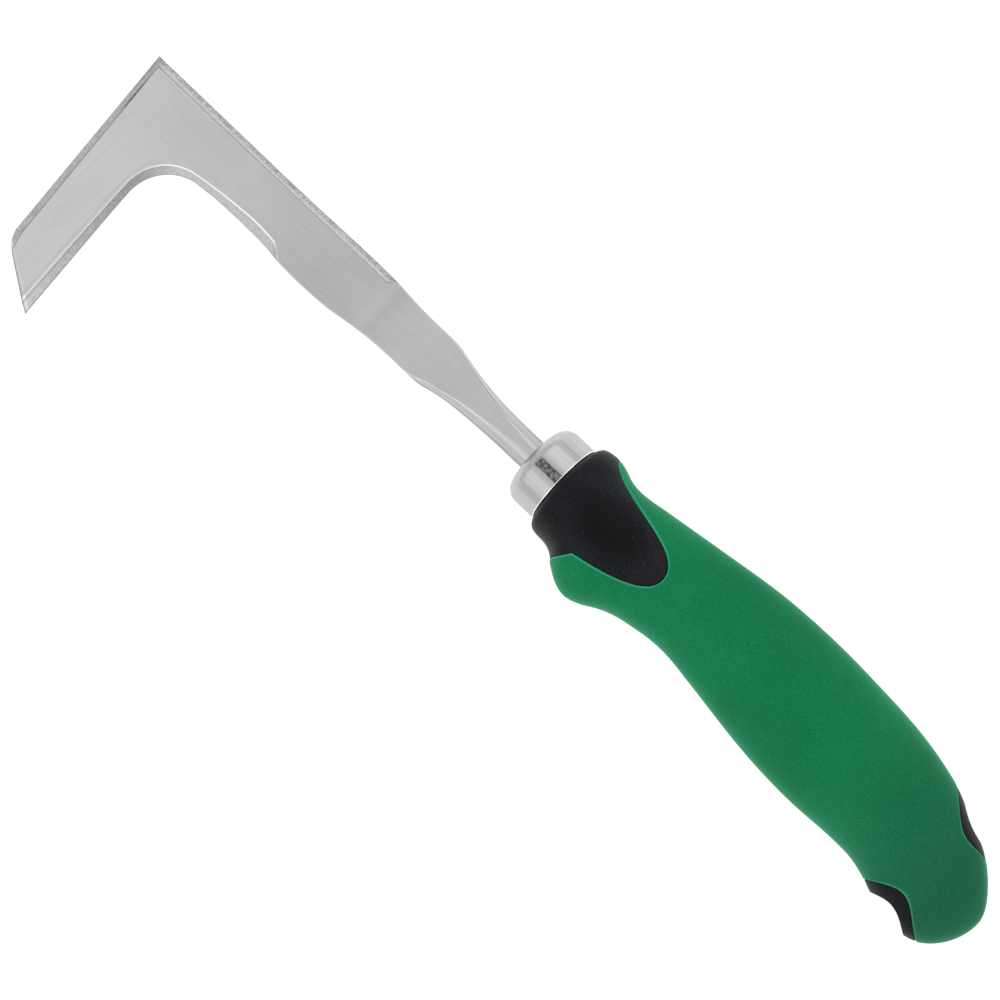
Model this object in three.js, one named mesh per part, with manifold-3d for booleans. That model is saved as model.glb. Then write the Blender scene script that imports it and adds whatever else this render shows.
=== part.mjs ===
// A hand weeder for cracks and joints: a forged L-shaped steel blade with a round shank, a pressed
// ferrule, and a moulded handle with a black core, collar and hang-hole liner under a green soft grip.
//
// The tool lies on its side, as it does on a bench. +X runs forward along the shank to the blade,
// +Y is the finger side, where the claw of the blade points, and +Z is up, across the flat blade.
// Shapes are written in millimetres about the joint between ferrule and collar, on the shank's axis,
// and the whole group is then set down so that its box's bottom centre is the origin.
import * as THREE from "three";
import { mergeVertices } from "three/addons/utils/BufferGeometryUtils.js";
import Module from "manifold-3d";

const wasm = await Module();
wasm.setup();

// ---- Driving dimensions, mm ----
const GAP = 0.3; // clearance between neighbouring pieces
const OUTSIDE = 40; // how far cutters and half spaces reach, well clear of the handle

// Handle, from the collar's face back to the tail.
const COLLAR_FACE_X = -0.3;
const TAIL_X = -156.15;
const TAIL_Y = 8.8; // height at which the two long edges meet at the tail
const TAIL_ROUNDING = 14; // length over which the tail closes
const GRIP_WALL = 3; // thickness of the soft grip and of the collar over the core
// What is added to a section's superellipse exponent, 2, which alone gives a plain ellipse.
const GRIP_SQUARENESS = 0.3; // over the grip's length
const TAIL_SQUARENESS = 0.5; // more on the thumb side of the tail

// Each long edge and the half width, as [x, value] stations joined by a cubic.
// The tail values run on past the rounding, which closes them.
const FINGER_EDGE = [
  [-156, 23.6], [-149, 24.4], [-143, 24.3], [-137, 23.4], [-131, 22.2], [-126, 20.3], [-121, 19.1],
  [-115, 18.8], [-100, 19.3], [-90, 19], [-80, 18.1], [-60, 15.2], [-50, 13.9], [-44, 14],
  [-39, 14.7], [-33, 15.9], [-29, 17.4], [-24, 20.1], [-20, 21.2], [-16, 20.3], [-12, 17.9],
  [-9, 15.6], [-6.5, 14.7], [-2.7, 14.4], [-1.2, 13.8], [-0.3, 12.6],
];
const THUMB_EDGE = [
  [-156, -1], [-150, -3.7], [-144, -6.4], [-137, -9.4], [-130, -12.7], [-121, -15.3], [-111, -17.1],
  [-95, -18.4], [-80, -19], [-62, -18.4], [-42, -15.9], [-26, -13.7], [-16, -12.5], [-12.5, -12.9],
  [-8.5, -14.3], [-5.3, -14.8], [-2.7, -14.5], [-1.2, -13.8], [-0.3, -12.5],
];
const HALF_WIDTH = [
  [-156, 11], [-142, 12.2], [-132, 13.1], [-120, 14.2], [-104, 14.8], [-88, 14.5], [-70, 13.6],
  [-50, 12.6], [-35, 12.4], [-20, 12.9], [-12, 13.8], [-5.3, 14.6], [-2.7, 14.4], [-1.2, 13.8],
  [-0.3, 12.5],
];

// Front collar: one tongue reaches back over each side of the grip.
const TONGUE_TIP = [-37.5, 0.8];
const TONGUE_SHOULDER = [-15.2, 11.9]; // where the finger side of the tongue meets the guard
const GUARD_JOINT = [-10.4, 17.3]; // where the collar's joint crosses the finger edge
const THUMB_JOINT = [-6.4, -14.3]; // and the thumb edge

// Ferrule: a pressed cup, open at the back, with a hole for the shank in its face.
const FERRULE_R = 12;
const FERRULE_LENGTH = 10.9;
const FERRULE_WALL = 1;
const FERRULE_CORNER_R = 4.3;

// Core: the hard moulding inside the handle.
const SPIGOT_R = 10.7; // nose that fills the ferrule
const SPIGOT_END_X = 7.2;
const CORE_FRONT_X = -3;

// Hang hole, through the tail from the finger side to the thumb side.
const HANG_X = -137.5;
const HANG_R = 4.5;
const LINER_WALL = 1.5;
const FINGER_FLANGE_R = 10.2;
const THUMB_FLANGE_R = 9;
// The bore's [radius, y] from side to side: nearly plain at the thumb end, flared at the finger end.
const HANG_BORE = [
  [7.5, -30], [4.9, -8.5], [HANG_R, -6], [HANG_R, 12], [5.3, 17], [6.35, 21], [6.55, 24], [9.5, 40],
];

// Shank and tang, one round bar pressed flat towards the blade.
const ROD_R = 4.5;
const TANG_END_X = -58;
const TANG_PIN_X = -30;
const TANG_PIN_R = 1.5;
const TANG_PIN_LENGTH = 17.6;
// Half widths of the bar towards the claw side and the thumb side, the part of each that is flat
// on top and below, and the half thickness, as [x, value] stations from the round rod to the blade.
const CLAW_HALF = [[20, 4.5], [27, 4.7], [33, 5], [38, 5.4], [43, 6.2], [47, 7.1], [50, 7.25], [66, 7.2]];
const THUMB_HALF = [[20, 4.4], [27, 4.7], [33, 5.3], [38, 6.1], [44, 7.3], [48, 7.6], [52, 7.65], [66, 8.3]];
const CLAW_FLAT = [[12, 0.02], [19, 0.9], [25, 1.7], [36, 3.2], [41, 4.3], [46, 5.4], [50, 6.8], [66, 7]];
const THUMB_FLAT = [[4, 0.02], [19, 1.8], [25, 2.7], [36, 4.7], [41, 5.9], [46, 6.8], [50, 7.4], [66, 8.1]];
const HALF_THICKNESS = [[10, ROD_R], [18, 4.25], [24, 4], [35, 3.2], [44, 2.5], [50, 2.2], [66, 1.6]];

// Blade: a flat L with a ground edge along its spine, its claw and its inner corner.
const BLADE_T = 3;
const EDGE_T = 0.8;
const PLATE_START_X = 60;
const CORNER = [160.5, -8.9]; // outer corner of the L
const CLAW_TIP = [138.1, 66.1];
const CLAW_HEEL = [153.6, 55.8]; // other end of the slanted cut that makes the tip
const THROAT_CENTRE = [127, 22.9]; // the inner corner is an arc about this point
const THROAT_EDGE_R = 13;
const THROAT_FLAT_R = 15.7;

// ---- Small helpers ----

// A cubic through [x, value] stations, as a function of x.
function throughStations(stations) {
  const xs = stations.map(([x]) => x);
  const values = stations.map(([, value]) => value);
  const cubic = new THREE.CubicInterpolant(xs, values, 1);
  return (x) => cubic.evaluate(THREE.MathUtils.clamp(x, xs[0], xs[xs.length - 1]))[0];
}

// Evenly spaced numbers from a to b, both included.
function steps(a, b, count) {
  return Array.from({ length: count + 1 }, (_, i) => THREE.MathUtils.lerp(a, b, i / count));
}

// A closed mesh over rings of points that share one count, capped at both ends.
// The rings follow each other along -X and each runs from +Y to +Z.
function loft(rings) {
  const count = rings[0].length;
  const points = rings.flat();
  const faces = [];
  for (let i = 0; i + 1 < rings.length; i++) {
    for (let k = 0; k < count; k++) {
      const a = i * count + k;
      const b = i * count + ((k + 1) % count);
      faces.push(a, b + count, b, a, a + count, b + count);
    }
  }
  for (const [ring, first, turn] of [[rings[0], 0, 0], [rings.at(-1), points.length - count, 1]]) {
    const centre = ring.reduce((sum, p) => sum.add(p), new THREE.Vector3()).divideScalar(count);
    const c = points.push(centre) - 1;
    for (let k = 0; k < count; k++) {
      const pair = [first + k, first + ((k + 1) % count)];
      faces.push(c, pair[turn], pair[1 - turn]);
    }
  }
  return new THREE.BufferGeometry().setFromPoints(points).setIndex(faces);
}

// A three.js geometry as a manifold solid, and back.
function solid(geometry) {
  const bare = geometry.clone();
  bare.deleteAttribute("normal");
  bare.deleteAttribute("uv");
  const merged = mergeVertices(bare, 1e-4);
  const mesh = new wasm.Mesh({
    numProp: 3,
    vertProperties: merged.attributes.position.array,
    triVerts: new Uint32Array(merged.index.array),
  });
  return new wasm.Manifold(mesh);
}

function geometryOf(shape) {
  const { vertProperties, triVerts } = shape.getMesh();
  const geometry = new THREE.BufferGeometry();
  geometry.setAttribute("position", new THREE.BufferAttribute(vertProperties, 3));
  geometry.setIndex(new THREE.BufferAttribute(triVerts, 1));
  const flat = geometry.toNonIndexed();
  flat.computeVertexNormals();
  return flat;
}

// A round bar on the shank's axis, across it through the hang hole, or upright through it.
function barAlongX(radius, x0, x1, sides = 32) {
  const bar = new THREE.CylinderGeometry(radius, radius, x1 - x0, sides);
  return solid(bar.rotateZ(Math.PI / 2).translate((x0 + x1) / 2, 0, 0));
}

function barAlongY(radius, x, y0, y1, sides = 36) {
  const bar = new THREE.CylinderGeometry(radius, radius, y1 - y0, sides);
  return solid(bar.translate(x, (y0 + y1) / 2, 0));
}

function barAlongZ(radius, x, length, sides = 20) {
  const bar = new THREE.CylinderGeometry(radius, radius, length, sides);
  return solid(bar.rotateX(Math.PI / 2).translate(x, 0, 0));
}

// ---- The handle's outer form ----

const fingerEdge = throughStations(FINGER_EDGE);
const thumbEdge = throughStations(THUMB_EDGE);
const halfWidth = throughStations(HALF_WIDTH);

// How far the tail's rounding has closed the section at x: 1 before it, 0 at the tail's end.
function tailClosure(x, inset) {
  const length = TAIL_ROUNDING - inset;
  const u = (TAIL_X + TAIL_ROUNDING - x) / length;
  return u <= 0 ? 1 : Math.sqrt(Math.max(0, 1 - u * u));
}

// One section of the handle, drawn in by an inset. It is elliptical at both ends
// and squarer in the grip between them.
function handleSection(x, inset, count) {
  const closure = tailClosure(x, inset);
  const top = fingerEdge(x) - inset;
  const bottom = thumbEdge(x) + inset;
  const closedTop = THREE.MathUtils.lerp(TAIL_Y, top, closure);
  const closedBottom = THREE.MathUtils.lerp(TAIL_Y, bottom, closure);
  const middle = (closedTop + closedBottom) / 2;
  const height = (closedTop - closedBottom) / 2;
  const width = (halfWidth(x) - inset) * closure;
  const grip = THREE.MathUtils.smoothstep(-x, 6, 24);
  const tail = THREE.MathUtils.smoothstep(-x, 105, 137);
  const fingerPower = 2 + GRIP_SQUARENESS * (grip - tail);
  const thumbPower = 2 + GRIP_SQUARENESS * grip + TAIL_SQUARENESS * tail;
  return steps(0, 2 * Math.PI, count).slice(0, -1).map((angle) => {
    const power = 2 / (Math.cos(angle) > 0 ? fingerPower : thumbPower);
    const round = (v) => Math.sign(v) * Math.abs(v) ** power;
    return new THREE.Vector3(x, middle + height * round(Math.cos(angle)), width * round(Math.sin(angle)));
  });
}

// The handle's form as a solid from front to the tail, drawn in by an inset.
function handleForm(front, inset, count, frontSteps, middleSteps, tailSteps) {
  const tail = TAIL_X + inset;
  const xs = [
    ...steps(front, -30, frontSteps),
    ...steps(-30, -120, middleSteps).slice(1),
    ...steps(0, Math.PI / 2, tailSteps).slice(1, -1).map((a) => -120 + (tail + 120) * Math.sin(a)),
    tail + 0.02,
  ];
  return solid(loft(xs.map((x) => handleSection(x, inset, count))));
}

// Plan outline of the collar and its tongues, grown outwards by a margin, as a prism through the handle.
function collarRegion(margin) {
  const [tipX, tipY] = TONGUE_TIP;
  const outline = new THREE.Shape();
  outline.moveTo(OUTSIDE, OUTSIDE);
  outline.lineTo(GUARD_JOINT[0], OUTSIDE);
  outline.lineTo(...GUARD_JOINT);
  outline.quadraticCurveTo(-13, 14.9, ...TONGUE_SHOULDER);
  outline.bezierCurveTo(-23, 10.6, tipX, 8.2, tipX, tipY);
  outline.bezierCurveTo(tipX, -9.2, -14.5, -7.5, ...THUMB_JOINT);
  outline.lineTo(THUMB_JOINT[0] + 0.4, -OUTSIDE);
  outline.lineTo(OUTSIDE, -OUTSIDE);
  const points = outline.getPoints(9);
  const grown = points.map((p, i) => {
    const before = points.at(i - 1);
    const after = points[(i + 1) % points.length];
    const along = after.clone().sub(before).normalize();
    return new THREE.Vector2(p.x + along.y * margin, p.y - along.x * margin);
  });
  const settings = { depth: 2 * OUTSIDE, bevelEnabled: false };
  const prism = new THREE.ExtrudeGeometry(new THREE.Shape(grown), settings);
  return solid(prism.translate(0, 0, -OUTSIDE));
}

// ---- Pieces ----

// Grip form and the core form that all the handle's pieces are cut from.
const gripForm = handleForm(COLLAR_FACE_X, 0, 36, 15, 11, 13);
const coreForm = handleForm(CORE_FRONT_X, GRIP_WALL + GAP / 2, 24, 8, 7, 7);
const coreSpace = handleForm(5, GRIP_WALL - GAP / 2, 24, 8, 7, 7);

// The hard core: the grip's inner form, a spigot into the ferrule, and holes for tang, pin and liner.
function handleCore() {
  return coreForm
    .add(barAlongX(SPIGOT_R, CORE_FRONT_X - 6, SPIGOT_END_X))
    .subtract(barAlongX(ROD_R + GAP, TANG_END_X - 1, SPIGOT_END_X + 5))
    .subtract(barAlongZ(TANG_PIN_R + GAP, TANG_PIN_X, OUTSIDE))
    .subtract(barAlongY(HANG_R + LINER_WALL + GAP, HANG_X, -OUTSIDE, OUTSIDE));
}

// Collar: a ring behind the ferrule with a tongue along each side of the handle.
function frontCollar() {
  return gripForm
    .intersect(collarRegion(-GAP / 2))
    .subtract(coreSpace)
    .subtract(barAlongX(SPIGOT_R + GAP, -10, 10));
}

// Soft grip: everything outside the core that the collar and the liner's flanges leave.
function gripSleeve() {
  return gripForm
    .subtract(collarRegion(GAP / 2))
    .subtract(coreSpace)
    .subtract(barAlongY(FINGER_FLANGE_R + GAP, HANG_X, TAIL_Y, OUTSIDE))
    .subtract(barAlongY(THUMB_FLANGE_R + GAP, HANG_X, -OUTSIDE, TAIL_Y));
}

// Hang-hole liner: a tube through the core with a flange that follows the grip at each end.
function hangHoleLiner() {
  const flanges = barAlongY(FINGER_FLANGE_R, HANG_X, TAIL_Y, OUTSIDE).add(
    barAlongY(THUMB_FLANGE_R, HANG_X, -OUTSIDE, TAIL_Y),
  );
  const tube = barAlongY(HANG_R + LINER_WALL, HANG_X, -OUTSIDE, OUTSIDE);
  const profile = [[0, HANG_BORE[0][1]], ...HANG_BORE, [0, HANG_BORE.at(-1)[1]]];
  const bore = new THREE.LatheGeometry(profile.map(([r, y]) => new THREE.Vector2(r, y)), 36);
  return flanges
    .subtract(coreSpace)
    .add(tube)
    .intersect(gripForm)
    .subtract(solid(bore.translate(HANG_X, 0, 0)));
}

// Ferrule: a cup turned about the shank's axis, with a rounded shoulder.
function ferrule() {
  const inner = FERRULE_R - FERRULE_WALL;
  const corner = (radius) => {
    return steps(0, Math.PI / 2, 5).map((a) => {
      const r = FERRULE_R - FERRULE_CORNER_R + radius * Math.cos(a);
      return new THREE.Vector2(r, FERRULE_LENGTH - FERRULE_CORNER_R + radius * Math.sin(a));
    });
  };
  const profile = [
    new THREE.Vector2(inner, 0),
    new THREE.Vector2(FERRULE_R, 0),
    ...corner(FERRULE_CORNER_R),
    new THREE.Vector2(ROD_R + GAP, FERRULE_LENGTH),
    new THREE.Vector2(ROD_R + GAP, FERRULE_LENGTH - FERRULE_WALL),
    ...corner(FERRULE_CORNER_R - FERRULE_WALL).reverse(),
    new THREE.Vector2(inner, 0),
  ];
  return solid(new THREE.LatheGeometry(profile, 40).rotateZ(-Math.PI / 2));
}

// One section of the bar: flat on top and below out to its facet lines, with elliptical sides.
function barSection(x, claw, thumb, clawFlat, thumbFlat, halfT) {
  const side = 7;
  const points = [];
  for (const [edge, flat, sign] of [[claw, clawFlat, 1], [thumb, thumbFlat, -1]]) {
    for (const a of steps(-Math.PI / 2, Math.PI / 2, side * 2)) {
      const y = sign * (flat + (edge - flat) * Math.cos(a));
      points.push(new THREE.Vector3(x, y, sign * halfT * Math.sin(a)));
    }
  }
  return points;
}

// Tang, shank and neck: a round bar that is pressed wider and flatter towards the blade.
function shank() {
  const [claw, thumb, clawFlat, thumbFlat, halfT] = [
    CLAW_HALF, THUMB_HALF, CLAW_FLAT, THUMB_FLAT, HALF_THICKNESS,
  ].map(throughStations);
  const xs = [66, 62, 58, 54, 51, 49, 47, 45, 43, 40, 36, 32, 28, 24, 20, 15, 10, 4, TANG_END_X + 1.5];
  const rings = xs.map((x) => barSection(x, claw(x), thumb(x), clawFlat(x), thumbFlat(x), halfT(x)));
  const end = ROD_R - 1;
  rings.push(barSection(TANG_END_X, end, end, 0.02, 0.02, end));
  return solid(loft(rings)).subtract(barAlongZ(TANG_PIN_R + GAP, TANG_PIN_X, OUTSIDE));
}

// The blade's outline, anticlockwise, as pairs: a point on the edge and the point where its ground
// face meets the flat. The two are one point where the edge is left square.
function bladeOutline() {
  const square = (x, y) => [[x, y], [x, y]];
  const [throatX, throatY] = THROAT_CENTRE;
  const throat = steps(0, -0.42 * Math.PI, 9).map((a) => {
    const edge = [throatX + THROAT_EDGE_R * Math.cos(a), throatY + THROAT_EDGE_R * Math.sin(a)];
    const flat = [throatX + THROAT_FLAT_R * Math.cos(a), throatY + THROAT_FLAT_R * Math.sin(a)];
    return [edge, flat];
  });
  return [
    square(PLATE_START_X, -7.9),
    square(69.4, -8.7),
    [[71.8, -8.8], [71.8, -6.4]],
    [[110, -8.6], [110, -6.3]],
    [CORNER, [158.1, -6.4]],
    [[156.1, 51.8], [153.7, 51.3]],
    [[155.2, 54.1], [153.2, 53.5]],
    [CLAW_HEEL, [152.2, 56.73]],
    [CLAW_TIP, [141.4, 63.9]],
    [[139.6, 41.6], [142.2, 41.4]],
    ...throat,
    [[126.8, 9.2], [127.4, 6.7]],
    [[122, 8.7], [122, 6.1]],
    [[112, 8.5], [112, 5.7]],
    [[102, 8.8], [102, 6]],
    square(97, 9.4),
    square(84.4, 9.5),
    square(79.2, 9.2),
    square(73.5, 8.4),
    square(67.5, 7.7),
    square(64, 7.3),
    square(PLATE_START_X, 7.3),
  ];
}

// The flat L: its two faces, the ground faces round them, and the narrow edge between.
function bladePlate() {
  const outline = bladeOutline();
  const ring = (which, z) => outline.map((pair) => new THREE.Vector3(...pair[which], z));
  const points = [
    ...ring(1, BLADE_T / 2),
    ...ring(0, EDGE_T / 2),
    ...ring(0, -EDGE_T / 2),
    ...ring(1, -BLADE_T / 2),
  ];
  const count = outline.length;
  const faces = [];
  for (let row = 0; row < 3; row++) {
    for (let k = 0; k < count; k++) {
      const a = row * count + k;
      const b = row * count + ((k + 1) % count);
      faces.push(a, b + count, b, a, a + count, b + count);
    }
  }
  const flat = outline.map(([, [x, y]]) => new THREE.Vector2(x, y));
  for (const [a, b, c] of THREE.ShapeUtils.triangulateShape(flat, [])) {
    faces.push(a, b, c);
    faces.push(c + 3 * count, b + 3 * count, a + 3 * count);
  }
  return solid(new THREE.BufferGeometry().setFromPoints(points).setIndex(faces));
}

function tangPin() {
  return barAlongZ(TANG_PIN_R, TANG_PIN_X, TANG_PIN_LENGTH);
}

// ---- Assembly ----

const FINISHES = {
  steel: { color: 0xbfbfbe, roughness: 0.35, metalness: 1 },
  ferruleSteel: { color: 0xc8c8c7, roughness: 0.3, metalness: 1 },
  green: { color: 0x1b7a4d, roughness: 0.6, metalness: 0 },
  black: { color: 0x1d1f21, roughness: 0.5, metalness: 0 },
};

function piece(name, shape, finish) {
  const mesh = new THREE.Mesh(geometryOf(shape), new THREE.MeshStandardMaterial(FINISHES[finish]));
  mesh.name = name;
  return mesh;
}

const head = new THREE.Group();
head.add(piece("blade", shank().add(bladePlate()), "steel"));
head.add(piece("ferrule", ferrule(), "ferruleSteel"));

const handle = new THREE.Group();
handle.add(piece("handle_core", handleCore(), "black"));
handle.add(piece("tang_pin", tangPin(), "steel"));
handle.add(piece("front_collar", frontCollar(), "black"));
handle.add(piece("grip_sleeve", gripSleeve(), "green"));
handle.add(piece("hang_hole_liner", hangHoleLiner(), "black"));

// Set the tool down so that the origin is the bottom centre of its box.
const tool = new THREE.Group();
tool.add(head, handle);
const box = new THREE.Box3().setFromObject(tool);
const centre = box.getCenter(new THREE.Vector3());
tool.position.set(-centre.x, -centre.y, -box.min.z);

export default tool;
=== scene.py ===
"""Looks of a hand weeder: a forged L-shaped steel blade, a pressed ferrule and a moulded two-colour handle.

The tool lies on its side. +X runs forward to the blade, +Y is the finger side, where the claw points,
and +Z crosses the flat of the blade. Shapes are written in millimetres about the joint of ferrule and
collar, on the shank's axis, and are placed in the CAD frame by the ferrule's box.
"""
import math

import bmesh
import bpy
import numpy as np
from mathutils import Matrix, Vector
from mathutils.geometry import delaunay_2d_cdt


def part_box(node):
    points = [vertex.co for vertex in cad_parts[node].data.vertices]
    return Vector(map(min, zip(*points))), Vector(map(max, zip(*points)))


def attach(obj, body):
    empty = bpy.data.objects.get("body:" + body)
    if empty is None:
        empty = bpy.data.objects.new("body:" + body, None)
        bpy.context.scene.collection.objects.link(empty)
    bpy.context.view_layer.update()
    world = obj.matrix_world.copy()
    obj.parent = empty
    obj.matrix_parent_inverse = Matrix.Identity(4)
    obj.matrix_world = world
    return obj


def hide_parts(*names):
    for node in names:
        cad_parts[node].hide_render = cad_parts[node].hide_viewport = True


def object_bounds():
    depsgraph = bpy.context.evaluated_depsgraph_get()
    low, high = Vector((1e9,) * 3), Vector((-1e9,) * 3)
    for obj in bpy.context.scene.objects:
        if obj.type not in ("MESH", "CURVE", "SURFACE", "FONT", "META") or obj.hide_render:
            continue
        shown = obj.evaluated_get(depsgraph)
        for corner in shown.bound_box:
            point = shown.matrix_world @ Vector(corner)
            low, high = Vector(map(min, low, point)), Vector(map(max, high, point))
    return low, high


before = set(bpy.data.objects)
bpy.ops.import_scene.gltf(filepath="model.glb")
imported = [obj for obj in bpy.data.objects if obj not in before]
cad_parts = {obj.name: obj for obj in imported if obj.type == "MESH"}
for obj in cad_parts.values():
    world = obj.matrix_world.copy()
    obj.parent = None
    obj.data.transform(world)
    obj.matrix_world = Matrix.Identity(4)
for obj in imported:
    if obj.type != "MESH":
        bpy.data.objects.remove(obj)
CAD_LOW, CAD_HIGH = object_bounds()

# ---- Places and sizes, mm ----
MM = 0.001
FERRULE_LOW, FERRULE_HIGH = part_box("ferrule")
JOINT = Vector((FERRULE_LOW.x, (FERRULE_LOW.y + FERRULE_HIGH.y) / 2, (FERRULE_LOW.z + FERRULE_HIGH.z) / 2))

# Handle form: the two long edges and the half width as [x, value] stations, closed by the tail's rounding.
TAIL_X = -156.15
TAIL_Y = 8.8
TAIL_ROUNDING = 14
ROUNDING_X = TAIL_X + TAIL_ROUNDING
SHELL_WALL = 2.85
FINGER_EDGE = [
    [-156, 23.6], [-149, 24.4], [-143, 24.3], [-137, 23.4], [-131, 22.2], [-126, 20.3], [-121, 19.1],
    [-115, 18.8], [-100, 19.3], [-90, 19], [-80, 18.1], [-60, 15.2], [-50, 13.9], [-44, 14],
    [-39, 14.7], [-33, 15.9], [-29, 17.4], [-24, 20.1], [-20, 21.2], [-16, 20.3], [-12, 17.9],
    [-9, 15.6], [-6.5, 14.7], [-2.7, 14.4], [-1.2, 13.8], [-0.3, 12.6],
]
THUMB_EDGE = [
    [-156, -1], [-150, -3.7], [-144, -6.4], [-137, -9.4], [-130, -12.7], [-121, -15.3], [-111, -17.1],
    [-95, -18.4], [-80, -19], [-62, -18.4], [-42, -15.9], [-26, -13.7], [-16, -12.5], [-12.5, -12.9],
    [-8.5, -14.3], [-5.3, -14.8], [-2.7, -14.5], [-1.2, -13.8], [-0.3, -12.5],
]
HALF_WIDTH = [
    [-156, 11], [-142, 12.2], [-132, 13.1], [-120, 14.2], [-104, 14.8], [-88, 14.5], [-70, 13.6],
    [-50, 12.6], [-35, 12.4], [-20, 12.9], [-12, 13.8], [-5.3, 14.6], [-2.7, 14.4], [-1.2, 13.8],
    [-0.3, 12.5],
]
GRIP_SQUARENESS = 0.3
TAIL_SQUARENESS = 0.5

# Joint of the collar and the grip, from above: from the finger edge round the tongue to the thumb edge.
GUARD_JOINT = (-10.4, 17.3)
TONGUE_SHOULDER = (-15.2, 11.9)
TONGUE_TIP = (-37.3, 0.7)
THUMB_JOINT = (-6.4, -14.3)
JOINT_GAP = 0.08  # each side of the joint stands this far back from it
LIP_R = 0.35      # rounding of the moulded edges
PAINTED_EDGE_WIDTH = 0.4   # how far in from a moulded edge its painted edge line reaches: a painted highlight on the green, painted shade on the black
RECESS = 0.3      # the black tongue lies this far below the green
DISH = 0.75       # and is hollowed by this much more
RING_BORE_R = 11  # the collar's ring is bored out to here
RING_DEPTH = 3.2  # over this length behind its face

# Hang hole.
HANG_X = -137.5
FINGER_FLANGE_R = 10.2
THUMB_FLANGE_R = 9.6
FINGER_MOUTH_R = 6.35
THUMB_MOUTH_R = 4.9
BORE_R = 4.5
LINER_R = 6
MOUTH_ROUNDING = 0.7
SUNK = 0.12       # the flanges lie this far below the green

# Steel: half widths of the neck to each side, the flat part of each, and the half thickness.
CLAW_HALF = [
    [20, 4.5], [27, 4.7], [33, 5], [38, 5.4], [43, 6.2], [47, 7.1], [50, 7.25], [60, 7.3], [66, 7.5],
]
THUMB_HALF = [
    [20, 4.4], [27, 4.7], [33, 5.3], [38, 6.1], [43, 7.1], [46, 7.7], [49, 7.9], [52, 7.9], [60, 8],
    [66, 8.4],
]
CLAW_FLAT = [
    [12, 0.02], [19, 0.9], [25, 1.7], [36, 3.2], [41, 4.3], [46, 5.4], [50, 6.8], [56, 7.05], [66, 7.25],
]
THUMB_FLAT = [[4, 0.02], [19, 1.8], [25, 2.7], [36, 4.7], [41, 5.9], [46, 6.8], [50, 7.4], [66, 8.15]]
HALF_THICKNESS = [
    [10, 4.5], [18, 4.25], [24, 4], [35, 3.2], [44, 2.5], [50, 2.2], [60, 1.8], [67, 1.56], [74, 1.5],
]
TANG_END_X = -58
EDGE_T = 0.8
BLADE_T = 3
CORNER = (160.5, -8.9)
CORNER_FLAT = (158.1, -6.4)
HEEL = (153.6, 55.8)
TIP = (138.1, 66.1)
THROAT = (126.7, 22.9)
THROAT_R = 13.9
THROAT_FLAT_R = 15.95
THROAT_BOW = 0.6  # the throat's crease swells this much wider half way round
THROAT_TURN = math.radians(80)


# ---- Small helpers ----

def through_stations(stations):
    """A cubic through [x, value] stations, as a function of an array of x."""
    xs, values = np.array(stations, float).T
    last = len(xs) - 1

    def value_at(x):
        x = np.clip(x, xs[0], xs[-1])
        i = np.clip(np.searchsorted(xs, x, side="right"), 1, last)
        before = np.where(i >= 2, i - 2, i)
        after = np.where(i < last, i + 1, i - 1)
        step = xs[i] - xs[i - 1]
        p = (x - xs[i - 1]) / step
        lean_in = step / 2 / (xs[i - 1] - xs[before])
        lean_out = step / 2 / (xs[after] - xs[i])
        a = -lean_in * p * (1 - p) ** 2
        d = lean_out * p**2 * (p - 1)
        b = (1 + lean_in) * p**3 - (1.5 + 2 * lean_in) * p**2 + (lean_in - 0.5) * p + 1
        c = -(1 + lean_out) * p**3 + (1.5 + lean_out) * p**2 + 0.5 * p
        return a * values[before] + b * values[i - 1] + c * values[i] + d * values[after]

    return value_at


def smooth(value, low, high):
    """0 below low, 1 above high, and an even S between."""
    t = np.clip((value - low) / (high - low), 0, 1)
    return t * t * (3 - 2 * t)


def bezier(points, count):
    """Points on a quadratic or cubic Bezier curve, both ends included."""
    t = np.linspace(0, 1, count)[:, None]
    points = [np.array(p, float) for p in points]
    while len(points) > 1:
        points = [a + (b - a) * t for a, b in zip(points, points[1:])]
    return points[0]


def strip_faces(first, second, closed=True):
    """Quads between two rows of vertex numbers."""
    count = len(first)
    steps = range(count if closed else count - 1)
    return [(first[k], first[(k + 1) % count], second[(k + 1) % count], second[k]) for k in steps]


def add_piece(name, points, faces, node, material, attributes=None):
    """A closed mesh from points in mm, riding with the tool in place of a CAD node."""
    placed = np.array(points, float) * MM + np.array(JOINT)
    mesh = bpy.data.meshes.new(name)
    mesh.from_pydata(placed.tolist(), [], faces)
    for key, values in (attributes or {}).items():
        layer = mesh.attributes.new(key, "FLOAT", "POINT")
        layer.data.foreach_set("value", np.array(values, np.float32))
    work = bmesh.new()
    work.from_mesh(mesh)
    bmesh.ops.remove_doubles(work, verts=work.verts, dist=1e-7)
    bmesh.ops.recalc_face_normals(work, faces=work.faces)
    work.to_mesh(mesh)
    work.free()
    mesh.shade_smooth()
    mesh.materials.append(material)
    settle(mesh, node)


def in_scene(name, data):
    """An object in the scene for a mesh, a light or a camera."""
    obj = bpy.data.objects.new(name, data)
    bpy.context.scene.collection.objects.link(obj)
    return obj


def settle(mesh, node):
    """Lets a finished mesh ride with the tool as a piece of its own and stand for its CAD node."""
    piece = in_scene(mesh.name, mesh)
    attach(piece, "root")
    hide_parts(node)


def lengths_along(points):
    """How far along a polyline each of its points lies."""
    return np.append(0, np.cumsum(np.linalg.norm(np.diff(points, axis=0), axis=1)))


def circle(count):
    """Angles of even steps once round."""
    return np.linspace(0, 2 * math.pi, count, endpoint=False)


def ring_faces(rings, closed=False):
    """Quads between rings of equally many points, and round from the last to the first where closed."""
    count = len(rings[0])
    number = np.arange(len(rings) * count).reshape(-1, count)
    following = np.roll(number, -1, axis=0) if closed else number[1:]
    return number, [f for a, b in zip(number, following) for f in strip_faces(list(a), list(b))]


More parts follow.
